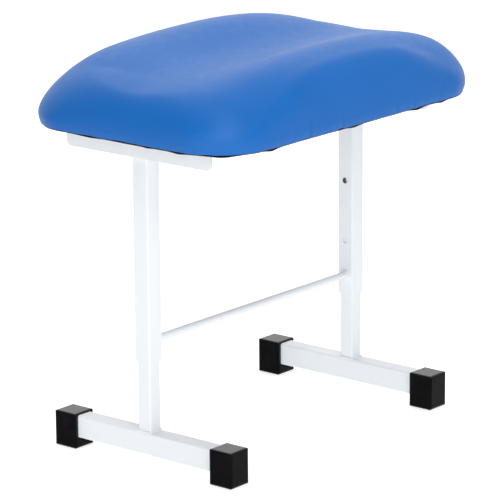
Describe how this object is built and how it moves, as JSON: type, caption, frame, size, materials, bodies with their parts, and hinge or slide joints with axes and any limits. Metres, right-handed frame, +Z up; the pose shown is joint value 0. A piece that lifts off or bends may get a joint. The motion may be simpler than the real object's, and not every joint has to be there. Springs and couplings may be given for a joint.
{
  "type": "kneeling massage stool",
  "caption": "Height-adjustable kneeling massage stool with a contoured vinyl seat on two telescoping T-shaped legs that a cross rod joins.",
  "frame": {"origin": "on the floor, below the middle of the seat, 8 mm in front of the legs' centre plane", "axes": "+X along the seat to the right-hand leg, -Y to the front, where the two scooped corners are, +Z up"},
  "size_m": [0.646, 0.428, 0.6433],
  "materials": {
    "white_powder_coat": "satin powder coat",
    "black_cap": "moulded semi-gloss",
    "guide_plastic": "moulded",
    "spring_steel": "rolled",
    "button_chrome": "polished",
    "zinc_steel": "zinc plated",
    "staple_wire": "galvanised wire",
    "plywood": "raw birch plywood",
    "foam": "open-cell foam",
    "blue_vinyl": "smooth satin vinyl",
    "black_lining": "non-woven felt"
  },
  "bodies": {
    "left_foot": {"foot_rail_left": "white_powder_coat", "foot_cap_front_left": "black_cap", "foot_cap_rear_left": "black_cap", "inner_post_left": "white_powder_coat", "foot_weld_left": "white_powder_coat", "post_plug_left": "guide_plastic", "snap_spring_left": "spring_steel"},
    "left_button": {"snap_button_left": "button_chrome"},
    "seat_frame": {"outer_post_left": "white_powder_coat", "outer_post_right": "white_powder_coat", "cross_rod": "white_powder_coat", "rod_weld_left": "white_powder_coat", "rod_weld_right": "white_powder_coat", "seat_angle_left": "white_powder_coat", "seat_angle_right": "white_powder_coat", "angle_weld_left": "white_powder_coat", "angle_weld_right": "white_powder_coat", "seat_board": "plywood", "foam_pad": "foam", "seat_cover": "blue_vinyl", "underside_lining": "black_lining", "staples": "staple_wire", "seat_bolts_left": "zinc_steel", "seat_bolts_right": "zinc_steel", "seat_washers_left": "zinc_steel", "seat_washers_right": "zinc_steel", "tee_nuts": "zinc_steel"},
    "right_foot": {"foot_rail_right": "white_powder_coat", "foot_cap_front_right": "black_cap", "foot_cap_rear_right": "black_cap", "inner_post_right": "white_powder_coat", "foot_weld_right": "white_powder_coat", "post_plug_right": "guide_plastic", "snap_spring_right": "spring_steel"},
    "right_button": {"snap_button_right": "button_chrome"}
  },
  "joints": [
    {"name": "seat_height", "type": "slide", "parent": "left_foot", "child": "seat_frame", "axis": [0, 0, 1], "range_m": [0, 0.1], "deforming": ["snap_button_left", "snap_button_right"]},
    {"name": "right_leg_extension", "type": "slide", "parent": "seat_frame", "child": "right_foot", "axis": [0, 0, -1], "range_m": [0, 0.1]},
    {"name": "left_button_press", "type": "slide", "parent": "left_foot", "child": "left_button", "axis": [-1, 0, 0], "range_m": [0, 0.005], "stiffness_N_per_m": 900, "springref_m": -0.003, "deforming": ["snap_spring_left"]},
    {"name": "right_button_press", "type": "slide", "parent": "right_foot", "child": "right_button", "axis": [1, 0, 0], "range_m": [0, 0.005], "stiffness_N_per_m": 900, "springref_m": -0.003, "deforming": ["snap_spring_right"]}
  ],
  "couplings": [
    {"joint": "right_leg_extension", "follows": "seat_height", "ratio": 1}
  ]
}
